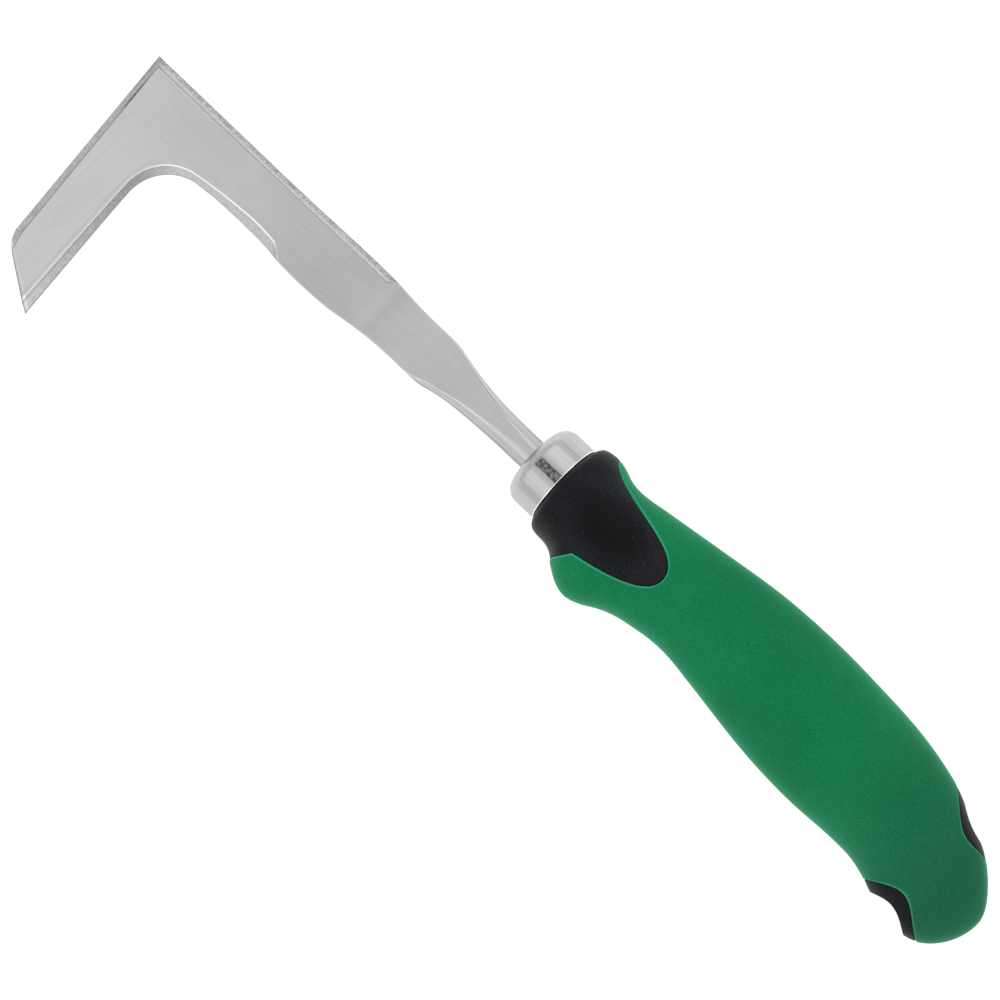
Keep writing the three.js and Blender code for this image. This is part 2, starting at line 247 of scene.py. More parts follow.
# ---- The handle's form ----

finger_edge = through_stations(FINGER_EDGE)
thumb_edge = through_stations(THUMB_EDGE)
half_width = through_stations(HALF_WIDTH)


def handle_section(x, inset=0.0):
    """Middle, half height, half width and the two superellipse powers of the section at x."""
    reach = np.clip((ROUNDING_X - x) / (TAIL_ROUNDING - inset), 0, 1)
    closure = np.sqrt(1 - reach**2)
    top = TAIL_Y + (finger_edge(x) - inset - TAIL_Y) * closure
    bottom = TAIL_Y + (thumb_edge(x) + inset - TAIL_Y) * closure
    width = (half_width(x) - inset) * closure
    grip = smooth(-x, 6, 24)
    tail = smooth(-x, 105, 137)
    finger_power = 2 + GRIP_SQUARENESS * (grip - tail)
    thumb_power = 2 + GRIP_SQUARENESS * grip + TAIL_SQUARENESS * tail
    return (top + bottom) / 2, (top - bottom) / 2, width, finger_power, thumb_power


def x_from_run(run, inset=0.0):
    """x for a distance run back along the handle; past the start of the tail's rounding, on the arc."""
    arc = np.clip(ROUNDING_X - run, 0, None) / TAIL_ROUNDING
    return np.where(arc > 0, ROUNDING_X - (TAIL_ROUNDING - inset) * np.sin(arc), run)


def run_from_x(x):
    reach = np.clip((ROUNDING_X - x) / TAIL_ROUNDING, 0, 1)
    return np.where(reach > 0, ROUNDING_X - TAIL_ROUNDING * np.arcsin(reach), x)


def handle_points(run, turn, inset=0.0):
    """Points of the handle's form, drawn in by an inset; turn is the angle from the finger edge."""
    x = x_from_run(run, inset)
    middle, height, width, finger_power, thumb_power = handle_section(x, inset)
    c, s = np.cos(turn), np.sin(turn)
    power = 2 / np.where(c > 0, finger_power, thumb_power)
    y = middle + height * np.sign(c) * np.abs(c) ** power
    z = width * np.sign(s) * np.abs(s) ** power
    return np.stack(np.broadcast_arrays(x, y, z), axis=-1)


def turn_at(x, y):
    """The turn, on the upper half, at which the form has this x and y."""
    middle, height, _, finger_power, thumb_power = handle_section(x)
    t = np.clip((y - middle) / height, -1, 1)
    power = np.where(t > 0, finger_power, thumb_power)
    return np.arccos(np.sign(t) * np.abs(t) ** (power / 2))


def side_height(x, z, side, inset=0.0):
    """y of the form at (x, z) on the finger side (1) or the thumb side (-1)."""
    middle, height, width, finger_power, thumb_power = handle_section(x, inset)
    power = finger_power if side > 0 else thumb_power
    share = np.clip(np.abs(z) / width, 0, 1)
    return middle + side * height * (1 - share**power) ** (1 / power)


def lip(distance):
    """How far a rounded edge has dropped at a distance inside it."""
    near = np.clip(1 - distance / LIP_R, 0, 1)
    return LIP_R * (1 - np.sqrt(1 - near**2))


# ---- Skins on the handle's form ----

TURNS = 288
turns = circle(TURNS)
EDGE_ROWS = np.array([0, 0.05, 0.12, 0.22, 0.35, 0.6, 1.0, 1.5])
FAR = 9.0         # distance given to points well away from any edge
FLAT_R = 13.5     # length of one radian of turn in the flat pattern
FILL_STEP = 0.9
FILL_START = 1.9  # loose filling points keep this far from an edge line
OVERLAP = 0.94    # a row point nearer the edge than this share of its offset has crossed a tight bend


class Skin:
    """A skin in the making: points as run and turn, their distance from an edge, faces and edge lines."""

    def __init__(self):
        self.run, self.turn, self.distance = np.zeros(0), np.zeros(0), np.zeros(0)
        self.faces, self.edges = [], []

    def add(self, run, turn, distance, faces, edges=()):
        shift = len(self.run)
        self.run = np.concatenate([self.run, np.ravel(run)])
        self.turn = np.concatenate([self.turn, np.ravel(turn)])
        self.distance = np.concatenate([self.distance, np.ravel(distance)])
        self.faces += [tuple(int(v) + shift for v in face) for face in faces]
        self.edges += [[int(v) + shift for v in edge] for edge in edges]

    def thicken(self, outer, inner):
        """Outer and inner skin of the same faces, joined by a wall along each edge line."""
        count = len(outer)
        faces = self.faces + [tuple(count + v for v in reversed(face)) for face in self.faces]
        for edge in self.edges:
            faces += strip_faces(edge, [count + v for v in edge], closed=False)
        return np.vstack([outer, inner]), faces

    def marks(self):
        """Per point: 1 on an edge and on the hidden side, for the edge line of painted light and shade, and
        1 towards the tail's end, for painted shade.
        """
        rim = np.clip(1 - self.distance / PAINTED_EDGE_WIDTH, 0, 1)
        tail = smooth(-self.run, 95, 152)
        return {"rim": np.concatenate([rim, np.ones(rim.size)]), "tail": np.concatenate([tail, tail])}


def triangulate(run, turn, loops):
    """Triangles of a flat pattern inside its outer loop and outside the others."""
    coords = [Vector((float(a), float(b) * FLAT_R)) for a, b in zip(run, turn)]
    edges = [(loop[k - 1], loop[k]) for loop in loops for k in range(len(loop))]
    made = delaunay_2d_cdt(coords, edges, [], 1, 1e-7)
    source = [group[0] for group in made[3]]
    return [tuple(source[v] for v in face) for face in made[2]]


# ---- The joint of collar and grip ----

def joint_line(count=300):
    """The joint over the upper half, evenly spaced from the finger edge to the thumb edge."""
    tip_x = TONGUE_TIP[0]
    line = np.vstack([
        bezier([GUARD_JOINT, (-13.5, 14.6), TONGUE_SHOULDER], 60),
        bezier([TONGUE_SHOULDER, (-23, 10.4), (tip_x, 7.6), TONGUE_TIP], 160)[1:],
        bezier([TONGUE_TIP, (tip_x, -9.2), (-14.5, -7.5), THUMB_JOINT], 200)[1:],
    ])
    x, y = line.T
    middle, height, *_ = handle_section(x)
    inside = np.abs(y - middle) < height
    turn = np.concatenate([[0], turn_at(x, y)[inside], [math.pi]])
    x = np.concatenate([[x[inside][0]], x[inside], [x[inside][-1]]])
    points = handle_points(x, turn)
    lengths = lengths_along(points)
    even = np.linspace(0, lengths[-1], count)
    return np.interp(even, lengths, x), np.interp(even, lengths, turn)


def joint_frame():
    """Points of the joint and, at each, the direction in the surface square to it, towards the collar."""
    x, turn = joint_line()
    points = handle_points(x, turn)
    along = np.gradient(points, axis=0)
    along[0], along[-1] = (0, 0, 1), (0, 0, -1)
    lengthwise = handle_points(x + 0.02, turn) - handle_points(x - 0.02, turn)
    around = handle_points(x, turn + 0.02) - handle_points(x, turn - 0.02)
    outward = np.cross(lengthwise, around)
    outward *= np.sign(np.sum(outward * (points - [0, 1.5, 0]) * [0, 1, 1], axis=1))[:, None]
    square = np.cross(outward, along)
    square /= np.linalg.norm(square, axis=1)[:, None]
    return points, square


def place_on_form(points):
    """Run and turn of points close to the form."""
    x, y, z = points.T
    middle, height, width, finger_power, thumb_power = handle_section(x)
    t, s = (y - middle) / height, z / width
    power = np.where(t > 0, finger_power, thumb_power) / 2
    return run_from_x(x), np.arctan2(np.sign(s) * np.abs(s) ** power, np.sign(t) * np.abs(t) ** power)


joint_points, joint_square = joint_frame()


def from_joint(points):
    """Distance of points from the joint, and their side of it (1 for the collar's)."""
    gaps = points[:, None, :] - joint_points[None]
    lengths = np.linalg.norm(gaps, axis=2)
    nearest = lengths.argmin(axis=1)
    pick = np.arange(len(points))
    side = np.sign(np.sum(gaps[pick, nearest] * joint_square[nearest], axis=1))
    return lengths[pick, nearest], side


def joint_patch(side, row_x):
    """The upper half of a skin between the joint and a plain row at row_x."""
    run, turn, distance, rows = [], [], [], []

    def put(new_run, new_turn, new_distance):
        numbers = list(range(len(run), len(run) + len(new_run)))
        run.extend(new_run)
        turn.extend(new_turn)
        distance.extend(new_distance)
        return numbers

    for step in EDGE_ROWS:
        offset = JOINT_GAP + step
        spots = joint_points + side * offset * joint_square
        row_run, row_turn = place_on_form(spots)
        row_turn[0], row_turn[-1] = 0, math.pi
        clear = from_joint(spots)[0] > OVERLAP * offset if step else np.ones(len(spots), bool)
        clear[[0, -1]] = True
        rows.append(put(row_run[clear], row_turn[clear], np.full(clear.sum(), step)))
    half = turns[: TURNS // 2 + 1]
    plain_row = put(np.full(len(half), row_x), half, np.full(len(half), FAR))
    seams = []
    for end, edge_turn in ((0, 0.0), (-1, math.pi)):
        last = run[rows[-1][end]]
        xs = np.linspace(last, row_x, max(int(abs(last - row_x) / FILL_STEP), 1) + 1)[1:-1]
        seams.append(put(xs, np.full(len(xs), edge_turn), np.full(len(xs), FAR)))
    low, high = min(run), max(run)
    fill_run, fill_turn = np.meshgrid(
        np.arange(low, high, FILL_STEP), np.arange(0.05, math.pi - 0.04, FILL_STEP / FLAT_R))
    fill_run[::2] += FILL_STEP / 2
    fill_run, fill_turn = fill_run.ravel(), fill_turn.ravel()
    away, found_side = from_joint(handle_points(fill_run, fill_turn))
    inside = (away > FILL_START) & (found_side == side) & (np.abs(fill_run - row_x) > 0.5)
    inside &= (fill_run - row_x) * side < 0
    put(fill_run[inside], fill_turn[inside], away[inside])
    finger_seam = [row[0] for row in rows[1:]] + seams[0]
    thumb_seam = [row[-1] for row in rows[1:]] + seams[1]
    border = plain_row + thumb_seam[::-1] + rows[0][::-1] + finger_seam
    return np.array(run), np.array(turn), np.array(distance), triangulate(run, turn, [border]), rows[0]


def add_joint_patch(skin, side, row_x):
    """Both halves of the skin beside the joint."""
    run, turn, distance, faces, edge = joint_patch(side, row_x)
    skin.add(run, turn, distance, faces, [edge])
    skin.add(run, -turn, distance, faces, [edge])


def add_plain_rows(skin, runs, open_cells=(), edges=()):
    """Rows of the handle's form at the given runs, all the way round, less the open cells."""
    run = np.repeat(np.array(runs, float)[:, None], TURNS, axis=1)
    number = np.arange(run.size).reshape(run.shape)
    faces = []
    for r in range(len(runs) - 1):
        for c in range(TURNS):
            if (r, c) not in open_cells:
                d = (c + 1) % TURNS
                faces.append((number[r, c], number[r, d], number[r + 1, d], number[r + 1, c]))
    loops = [[*number[r], number[r, 0]] for r in edges]
    skin.add(run, np.broadcast_to(turns, run.shape), np.full(run.shape, FAR), faces, loops)


def front_collar(material):
    """Black collar: a ring behind the ferrule and a dished tongue back over each side."""
    skin = Skin()
    add_plain_rows(skin, (-0.3, -0.42, -0.6, -0.85, -1.2, -1.6, -2.1, -2.8, -3.6), edges=[0])
    add_joint_patch(skin, 1, -3.6)
    bare = handle_points(skin.run, skin.turn)
    dish = smooth(1 - ((bare[:, 0] + 18) / 14) ** 2 - (bare[:, 1] / 9) ** 2, 0, 0.9)
    sunk = RECESS * smooth(-skin.run, 5, 13) + lip(skin.distance) + DISH * dish
    outer = handle_points(skin.run, skin.turn, sunk)
    inner = handle_points(skin.run, skin.turn, SHELL_WALL)
    ring = RING_BORE_R * np.stack([np.zeros_like(skin.run), np.cos(skin.turn), np.sin(skin.turn)], axis=-1)
    ring[:, 0] = skin.run
    inner = np.where((skin.run > -RING_DEPTH)[:, None], ring, inner)
    points, faces = skin.thicken(outer, inner)
    # The dish mark also carries painted shade in the dish.
    marks = skin.marks() | {"dish": np.concatenate([dish, np.zeros_like(dish)])}
    add_piece("collar_moulded", points, faces, "front_collar", material, marks)


# ---- The grip, with its two flange seats ----

hang_angles = circle(96)


def about_hang_hole(radius):
    """x and z of a circle about the hang hole's axis."""
    return HANG_X + radius * np.cos(hang_angles), radius * np.sin(hang_angles)


def flange_circle(radius, side):
    """Run and turn of a circle about the hang hole's axis, where it lies on the form."""
    x, z = about_hang_hole(radius)
    _, _, width, finger_power, thumb_power = handle_section(x)
    power = finger_power if side > 0 else thumb_power
    lean = np.arcsin(np.clip(np.abs(z) / width, 0, 1) ** (power / 2)) * np.sign(z)
    return run_from_x(x), lean if side > 0 else math.pi - lean


def add_seat_patch(skin, runs, side, radius, reach):
    """Fills a window in the plain rows with a skin that has a round seat cut in it; returns the window."""
    first = -reach if side > 0 else TURNS // 2 - reach
    columns = list(range(first, first + 2 * reach + 1))
    runs = np.array(runs)
    near = np.flatnonzero((runs < HANG_X + radius + 5) & (runs > run_from_x(HANG_X - radius) - 4))
    top, bottom = near[0], near[-1]
    border = [(top, c) for c in columns] + [(r, columns[-1]) for r in range(top + 1, bottom)]
    border += [(bottom, c) for c in reversed(columns)]
    border += [(r, columns[0]) for r in range(bottom - 1, top, -1)]
    inner = [(r, c) for r in range(top + 1, bottom) for c in columns[1:-1]]
    step = 2 * math.pi / TURNS
    spots = handle_points(runs[[r for r, _ in inner]], step * np.array([c for _, c in inner]))
    away = np.hypot(spots[:, 0] - HANG_X, spots[:, 2])
    kept = [cell for cell, gap in zip(inner, away) if gap > radius + FILL_START]
    circles = [flange_circle(radius + gap, side) for gap in EDGE_ROWS]
    run = np.concatenate([[runs[r] for r, _ in border + kept], *[c[0] for c in circles]])
    turn = np.concatenate([[step * c for _, c in border + kept], *[c[1] for c in circles]])
    distance = np.concatenate([np.full(len(border + kept), FAR), np.repeat(EDGE_ROWS, len(hang_angles))])
    seat = range(len(border + kept), len(border + kept) + len(hang_angles))
    faces = triangulate(run, turn, [range(len(border)), seat])
    faces = [face for face in faces if not all(v in seat for v in face)]
    skin.add(run, turn, distance, faces, [[*seat, seat[0]]])
    return {(r, c % TURNS) for r in range(top, bottom) for c in columns[:-1]}


def grip_sleeve(material):
    """Green grip: one skin from the joint to the tail, with a rounded lip along the joint and each seat."""
    skin = Skin()
    straight = np.linspace(-46, ROUNDING_X, 77)
    tail = ROUNDING_X - TAIL_ROUNDING * np.radians(np.linspace(0, 90, 24)[1:])
    runs = [*straight, *tail]
    add_joint_patch(skin, -1, -46)
    window = add_seat_patch(skin, runs, 1, FINGER_FLANGE_R + JOINT_GAP, 62)
    window |= add_seat_patch(skin, runs, -1, THUMB_FLANGE_R + JOINT_GAP, 56)
    add_plain_rows(skin, runs, window)
    outer = handle_points(skin.run, skin.turn, lip(skin.distance))
    inner = handle_points(skin.run, skin.turn, SHELL_WALL)
    points, faces = skin.thicken(outer, inner)
    add_piece("grip_moulded", points, faces, "grip_sleeve", material, skin.marks())


# ---- Hang-hole liner ----

def flange_rings(side, flange_r, mouth_r):
    """Rings of one flange, from its hidden underside over the rim and across to the mouth."""
    outer_r = flange_r - JOINT_GAP
    profile = [(LINER_R + 0.1, SHELL_WALL), (outer_r, SHELL_WALL)]
    profile += [(outer_r - d, lip(d) + SUNK) for d in (0, 0.03, 0.08, 0.16, 0.26, 0.36)]
    profile += [(r, SUNK) for r in np.linspace(outer_r - 0.6, mouth_r + MOUTH_ROUNDING, 7)]
    for bend in np.radians(np.linspace(15, 90, 6)):
        out, drop = (MOUTH_ROUNDING * (1 - wave(bend)) for wave in (math.sin, math.cos))
        profile.append((mouth_r + out, SUNK + drop))
    rings = []
    for radius, inset in profile:
        x, z = about_hang_hole(radius)
        rings.append(np.column_stack([x, side_height(x, z, side, inset), z]))
    return rings


def plain_ring(radius, y):
    x, z = about_hang_hole(radius)
    return np.column_stack([x, np.full(len(x), y), z])


def hang_hole_liner(material):
    """Black liner: a flange in each seat and a bore between them, flared at the finger end."""
    bore = [(5.75, 19.9), (5.5, 18.8), (5.2, 17), (4.75, 14), (BORE_R, 11), (BORE_R, 3), (BORE_R, -5)]
    rings = flange_rings(1, FINGER_FLANGE_R, FINGER_MOUTH_R)
    rings += [plain_ring(r, y) for r, y in bore]
    rings += flange_rings(-1, THUMB_FLANGE_R, THUMB_MOUTH_R)[::-1]
    rings += [plain_ring(LINER_R, y) for y in (-3, 8, 16)]
    _, faces = ring_faces(rings, closed=True)
    add_piece("liner_moulded", np.vstack(rings), faces, "hang_hole_liner", material)


# ---- The forged blade ----

SIDE_STEPS = 10
SQUARE_EDGE = 0.25  # an unground edge rounds over by this much
LAND = EDGE_T / BLADE_T
half_thickness = through_stations(HALF_THICKNESS)


def side_profile(lean, ground):
    """Across (1 at the edge, 0 at the flat) and height shares of a side, rounded or ground to an edge."""
    angle = np.linspace(0, lean, SIDE_STEPS)
    across = (np.cos(angle) - math.cos(lean)) / (1 - math.cos(lean))
    rounded = np.column_stack([across, np.sin(angle) / math.sin(lean)])
    upright = [(1, share * LAND) for share in (0, 0.5, 0.9)]
    slope = [(a, LAND + (1 - a) * (1 - LAND)) for a in (0.97, 0.9, 0.66, 0.4, 0.15, 0.04, 0)]
    return rounded * (1 - ground) + np.array(upright + slope) * ground


def flat_shares(width):
    """Where the points across a flat lie, the outer two close to its edges."""
    near = min(0.15 / max(width, 0.01), 0.3)
    return [near, 0.25, 0.5, 0.75, 1 - near]


def steel_section(inner, outer, half):
    """One section across the steel. Each side is (edge point, flat point, lean, ground)."""
    across = []
    for edge, flat, lean, ground in (inner, outer):
        share = side_profile(lean, ground)
        plan = np.outer(share[:, 0], edge) + np.outer(1 - share[:, 0], flat)
        across.append(np.column_stack([plan, half * share[:, 1]]))
    start, end = across[0][-1], across[1][-1]
    face = [start + (end - start) * t for t in flat_shares(np.linalg.norm(end - start))]
    top = np.vstack([across[0], face, across[1][::-1]])
    under = top[-2:0:-1] * [1, 1, -1]
    return np.vstack([top, under])


def neck_sections():
    """The tang, the round shank and the neck, from the tang's end to the blade."""
    claw, thumb = through_stations(CLAW_HALF), through_stations(THUMB_HALF)
    claw_flat, thumb_flat = through_stations(CLAW_FLAT), through_stations(THUMB_FLAT)
    sections = []
    xs = [TANG_END_X, TANG_END_X + 0.7, TANG_END_X + 1.5, -30, 0, 4, *np.arange(6, 65.5, 1.25)]
    for x in xs:
        shrink = {TANG_END_X: 0.75, TANG_END_X + 0.7: 0.92}.get(x, 1)
        sides = []
        for half, flat, sign in ((claw, claw_flat, 1), (thumb, thumb_flat, -1)):
            edge = float(half(x)) * shrink
            level = min(float(flat(x)) * shrink, edge - SQUARE_EDGE)
            sides.append(((x, sign * edge), (x, sign * level), math.acos(level / edge), 0))
        sections.append((*sides, float(half_thickness(x)) * shrink))
    return sections


def arm_sections():
    """The long arm of the blade, with the stops where its ground edges begin."""
    inner_edge = through_stations(
        [[66, 7.5], [73.5, 8.4], [79.2, 9.2], [84.4, 9.5], [97, 9.4], [102, 8.8], [112, 8.45], [122, 8.6]])
    inner_flat = through_stations([[102, 5.8], [109, 5.35], [115, 5.6], [122, 6.2]])
    outer_edge = through_stations([[66, -8.4], [69.4, -8.7], [71.8, -8.8], [110, -8.6], [122, -8.68]])
    outer_flat = through_stations([[71.8, -6.4], [110, -6.3], [122, -6.32]])
    lean = math.acos(1 - SQUARE_EDGE / 8)

    def side(x, edge, flat, start, full, sign):
        """One side, whose ground edge begins at start and is full width from full on."""
        y = float(edge(x))
        widening = np.interp(x, [start, full], [SQUARE_EDGE, sign * float(edge(full) - flat(full))])
        level = y - sign * widening if x < full else float(flat(x))
        return (x, y), (x, level), lean, 1 if x > start else 0

    xs = [*np.arange(66, 69, 1.0), 69.4, 69.7, 70.7, 71.8, *np.arange(73, 97, 2.0), 97, 97.3, 98.8, 100.4]
    xs += [102, *np.arange(104, 122, 2.0), 122]
    inner = [side(x, inner_edge, inner_flat, 97, 102, 1) for x in xs]
    outer = [side(x, outer_edge, outer_flat, 69.4, 71.8, -1) for x in xs]
    return list(zip(inner, outer, half_thickness(xs).tolist()))


def along(points, share):
    """The point at a share of the way along a polyline."""
    points = np.array(points, float)
    lengths = lengths_along(points)
    return [np.interp(share * lengths[-1], lengths, points[:, k]) for k in range(2)]


def corner_and_claw_sections():
    """Round the corner, fanning about the throat, and out along the claw to its slanted tip."""
    sections = []
    lean = 0.25
    half = BLADE_T / 2
    turn_steps = 18
    for k in range(1, turn_steps + 1):
        share = k / turn_steps
        if share < 0.2:
            pair = along([(122, 8.6), (125.5, 8.9), (129.11, 9.21)], share / 0.2)
            flat = along([(122, 6.2), (127, 6.8), (129.47, 7.19)], share / 0.2)
        else:
            angle = -THROAT_TURN * (1 - (share - 0.2) / 0.8)
            spread = np.array([math.cos(angle), math.sin(angle)])
            bow = THROAT_BOW * math.sin(math.pi * (share - 0.2) / 0.8)
            pair = np.array(THROAT) + THROAT_R * spread
            flat = np.array(THROAT) + (THROAT_FLAT_R + bow) * spread
        leg, part = (0, share / 0.5) if share <= 0.5 else (1, (share - 0.5) / 0.5)
        far, far_flat = (
            along(path[leg:leg + 2], part)
            for path in ([(122, -8.68), CORNER, (158.2, 23)], [(122, -6.32), CORNER_FLAT, (155.86, 23)]))
        sections.append(((pair, flat, lean, 1), (far, far_flat, lean, 1), half))
    for share in np.linspace(0, 1, 21)[1:]:
        pair = along([(140.6, 22.9), (140.3, 30), (139.6, 41.6), TIP], share)
        flat = along([(142.65, 22.9), (142.2, 41.4), (141.4, 63.9)], share)
        far = along([(158.2, 23), (156.1, 51.8), (155.2, 54.1), HEEL], share)
        far_flat = along([(155.86, 23), (153.7, 51.3), (153.2, 53.5), (152.2, 56.73)], share)
        sections.append(((pair, flat, lean, 1), (far, far_flat, lean, 1), half))
    return sections


def blade(material):
    """The steel in one piece: tang, shank, neck, and the flat L with its ground edges."""
    rows = neck_sections() + arm_sections() + corner_and_claw_sections()
    rings = [steel_section(*row) for row in rows]
    number, faces = ring_faces(rings)
    top = len(rings[0]) // 2
    for ring in (number[0], number[-1]):
        upper = list(ring[: top + 1])
        lower = [ring[0], *ring[:top - 1:-1]]
        faces += strip_faces(upper, lower, closed=False)
    add_piece("blade_forged", np.vstack(rings), faces, "blade", material, blade_marks(rows))


BLADE_MARKS = (
    "ground", "bevel", "round", "outer", "claw", "tip", "corner", "inside", "bend", "flat_brightness", "forged")
# Brightness painted on the flats along the blade: x stations and shares.
FLAT_BRIGHTNESS = ([20, 60, 88, 112, 122, 146], [0.2, 0.2, 0.0, 0.28, 0.42, 0.62])


def blade_marks(rows):
    """Per point: what the finish needs to know of its place on the steel.

    ground 1 on a ground face; bevel, round: share of the way down a ground or a rounded side; outer 1 on
    the spine and the claw's leading side; claw 1 on the claw; tip: share of the way to the claw's tip;
    corner 1 by the corner; inside: millimetres in from the inner crease; bend: a painted dark band and a
    painted light band, the bend's shade and highlight; polish: the flat's painted brightness along the
    blade; forged 1 where the neck's flats have grown out of the round shank.
    """
    marks = {key: [] for key in BLADE_MARKS}
    for inner, outer, _ in rows:
        down = [side_profile(side[2], side[3])[:, 0] for side in (inner, outer)]
        sides = [[side[3]] * (SIDE_STEPS - 1) + [0] for side in (inner, outer)]
        (inner_x, inner_y), (outer_x, outer_y) = inner[0], outer[0]
        crispness = 1 + smooth(inner_x, 40, 70)
        eased = [np.minimum(share * crispness, 1) for share in down]
        on_claw = np.clip((inner_y - THROAT[1] + 12) / 12, 0, 1) if inner_x > THROAT[0] else 0
        to_tip = np.clip((inner_y - THROAT[1]) / (TIP[1] - THROAT[1]), 0, 1) if inner_x > THROAT[0] else 0
        by_corner = math.exp(-(((outer_y - 2) / 5) ** 2)) if outer_x > 157 else 0
        # Painted shade just before the bend and a painted highlight just after it.
        bend = 0.8 * math.exp(-(((inner_x - 70) / 1.8) ** 2)) - math.exp(-(((inner_x - 66.8) / 1.5) ** 2))
        width = math.dist(inner[1], outer[1])
        inside = [width * share for share in flat_shares(width)]
        flat = [0] * len(inside)
        # How bright the flat is painted here, brighter on the claw.
        flat_brightness = np.interp((inner_x + outer_x) / 2, *FLAT_BRIGHTNESS) + 0.23 * on_claw
        across = {
            "ground": sides[0] + flat + sides[1][::-1],
            "bevel": [*(down[0] * inner[3]), *flat, *(down[1][::-1] * outer[3])],
            "round": [*(eased[0] * (1 - inner[3])), *flat, *(eased[1][::-1] * (1 - outer[3]))],
            "outer": [0] * SIDE_STEPS + flat + [1] * SIDE_STEPS,
            "inside": [0] * SIDE_STEPS + inside + [width] * SIDE_STEPS,
        }
        even = {"bend": bend, "flat_brightness": flat_brightness, "forged": smooth(inner_x, 20, 32), "claw": on_claw,
                "tip": to_tip, "corner": by_corner}
        across |= {key: [value] * len(across["outer"]) for key, value in even.items()}
        for key, top in across.items():
            marks[key] += [*top, *top[-2:0:-1]]
    return marks


# ---- Nodes ----

class Value:
    """A number or colour that varies from point to point; arithmetic on it adds the nodes."""

    def __init__(self, socket):
        self.socket = socket
        self.tree = socket.id_data

    def math(self, operation, *numbers):
        return made(self.tree, "ShaderNodeMath", dict(enumerate(numbers)), operation=operation)

    def __add__(self, other):
        return self.math("ADD", self, other)

    def __sub__(self, other):
        return self.math("SUBTRACT", self, other)

    def __rsub__(self, other):
        return self.math("SUBTRACT", other, self)

    def __mul__(self, other):
        return self.math("MULTIPLY", self, other)

    def __pow__(self, other):
        return self.math("POWER", self, other)

    def __abs__(self):
        return self.math("ABSOLUTE", self)

    def at_least(self, floor):
        return self.math("MAXIMUM", self, floor)

    def rise(self, low, high):
        """0 below low, 1 above high, even between."""
        inputs = {"Value": self, "From Min": low, "From Max": high}
        return made(self.tree, "ShaderNodeMapRange", inputs, clamp=True)

    def band(self, low, full, still_full, high):
        """0 outside low and high, 1 from full to still_full."""
        return self.rise(low, full) * self.rise(high, still_full)


def set_inputs(tree, node, inputs):
    """Links sockets and sets plain values on a node's inputs, by name or number."""
    for key, value in dict(inputs).items():
        if isinstance(value, Value):
            tree.links.new(value.socket, node.inputs[key])
        else:
            node.inputs[key].default_value = value


def add_node(tree, kind, inputs=(), **settings):
    node = tree.nodes.new(kind)
    for key, value in settings.items():
        setattr(node, key, value)
    set_inputs(tree, node, inputs)
    return node


def made(tree, kind, inputs=(), **settings):
    """Adds a node and gives its first output."""
    return Value(add_node(tree, kind, inputs, **settings).outputs[0])


def outputs_of(node):
    return {socket.name: Value(socket) for socket in node.outputs}


def node_group(name, kind, inputs, outputs):
    """A node group with named inputs (name, kind, value) and outputs (name, kind)."""
    tree = bpy.data.node_groups.new(name, kind)
    for label, socket_kind, value in inputs:
        socket_type = "NodeSocket" + socket_kind
        socket = tree.interface.new_socket(name=label, in_out="INPUT", socket_type=socket_type)
        if value is not None:
            socket.default_value = value
    for label, socket_kind in outputs:
        socket_type = "NodeSocket" + socket_kind
        tree.interface.new_socket(name=label, in_out="OUTPUT", socket_type=socket_type)
    return tree, outputs_of(tree.nodes.new("NodeGroupInput")), tree.nodes.new("NodeGroupOutput")


def mix(factor, a, b):
    """A blend of two numbers."""
    return made(factor.tree, "ShaderNodeMix", {0: factor, 2: a, 3: b}, data_type="FLOAT")


def mix_colour(factor, a, b):
    node = add_node(factor.tree, "ShaderNodeMix", {0: factor, 6: a, 7: b}, data_type="RGBA")
    return Value(node.outputs[2])


def scaled_colour(colour, factor):
    """A colour made lighter or darker by a factor."""
    return made(colour.tree, "ShaderNodeVectorMath", {0: colour, 3: factor}, operation="SCALE")


def noise_in(place, scale, detail=3.0, roughness=0.55):
    inputs = {"Vector": place, "Scale": scale, "Detail": detail, "Roughness": roughness}
    return made(place.tree, "ShaderNodeTexNoise", inputs)


# ---- The pressed ferrule, by geometry nodes ----

CUP_SIZES = {"Radius": 0.012, "Length": 0.0109, "Wall": 0.001, "Shoulder": 0.0043, "Hole": 0.0048}
CUP_COPIES = 128  # copies of the cup's outline round the axis
CUP_LIP = 0.35    # fillet of the cup's free edges, as a share of its wall
FILLET_POINTS = 10


